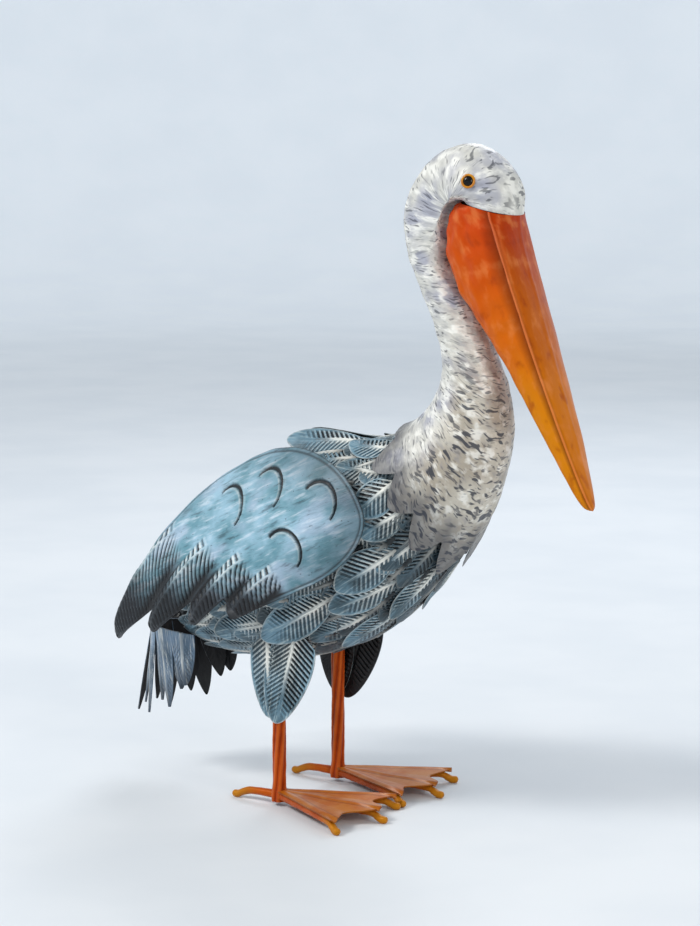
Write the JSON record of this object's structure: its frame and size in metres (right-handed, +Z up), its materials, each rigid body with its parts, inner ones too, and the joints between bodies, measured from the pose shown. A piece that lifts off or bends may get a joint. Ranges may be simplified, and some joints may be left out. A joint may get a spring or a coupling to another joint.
{
  "type": "pelican garden statue",
  "caption": "Standing pelican garden statue of painted sheet metal, with leaf feathers laid like shingles, domed wings, a long pouched bill and webbed feet on thin toes.",
  "frame": {"origin": "on the floor, under the middle of the statue's outline", "axes": "+Z up, +X the way the bird faces, +Y to its left"},
  "size_m": [0.5466, 0.2334, 0.6671],
  "materials": {
    "cream": "satin hand-painted off-white with dark blue-grey dabs",
    "trunk": "satin dark blue-grey",
    "feather": "satin steel blue, dark in the grooves and dry-brushed cream on the ribs",
    "wing": "satin brushed steel blue, fading to charcoal at the tips",
    "tail": "satin blue-grey, fading to charcoal at the tips",
    "bill": "glossy red-orange, fading to yellow-orange at the tip",
    "eye_ring": "gloss amber",
    "eye": "high gloss black",
    "leg": "satin red-orange",
    "toe": "satin orange, yellower at the tips",
    "web": "satin tan-orange"
  },
  "bodies": {
    "root": {"trunk": "trunk", "breast": "cream", "neck": "cream", "head": "cream", "eye_ring_left": "eye_ring", "eye_left": "eye", "eye_ring_right": "eye_ring", "eye_right": "eye", "bill_upper": "bill", "bill_lower": "bill", "leg_left": "leg", "web_left": "web", "toe_inner_left": "toe", "toe_middle_left": "toe", "toe_outer_left": "toe", "toe_hind_left": "toe", "feather_saddle_left": "feather", "feather_mantle_left": "feather", "feather_shoulder_left": "feather", "feather_collar_upper_left": "feather", "feather_collar_lower_left": "feather", "feather_flank_upper_left": "feather", "feather_flank_middle_left": "feather", "feather_flank_lower_left": "feather", "feather_belly_front_left": "feather", "feather_belly_middle_left": "feather", "feather_vent_front_left": "feather", "feather_vent_rear_left": "feather", "thigh_front_left": "feather", "thigh_rear_left": "feather", "wing_left": "wing", "tail_left": "tail", "leg_right": "leg", "web_right": "web", "toe_inner_right": "toe", "toe_middle_right": "toe", "toe_outer_right": "toe", "toe_hind_right": "toe", "feather_saddle_right": "feather", "feather_mantle_right": "feather", "feather_shoulder_right": "feather", "feather_collar_upper_right": "feather", "feather_collar_lower_right": "feather", "feather_flank_upper_right": "feather", "feather_flank_middle_right": "feather", "feather_flank_lower_right": "feather", "feather_belly_front_right": "feather", "feather_belly_middle_right": "feather", "feather_vent_front_right": "feather", "feather_vent_rear_right": "feather", "thigh_front_right": "feather", "thigh_rear_right": "feather", "wing_right": "wing", "tail_right": "tail", "tail_rear": "tail"}
  },
  "joints": []
}
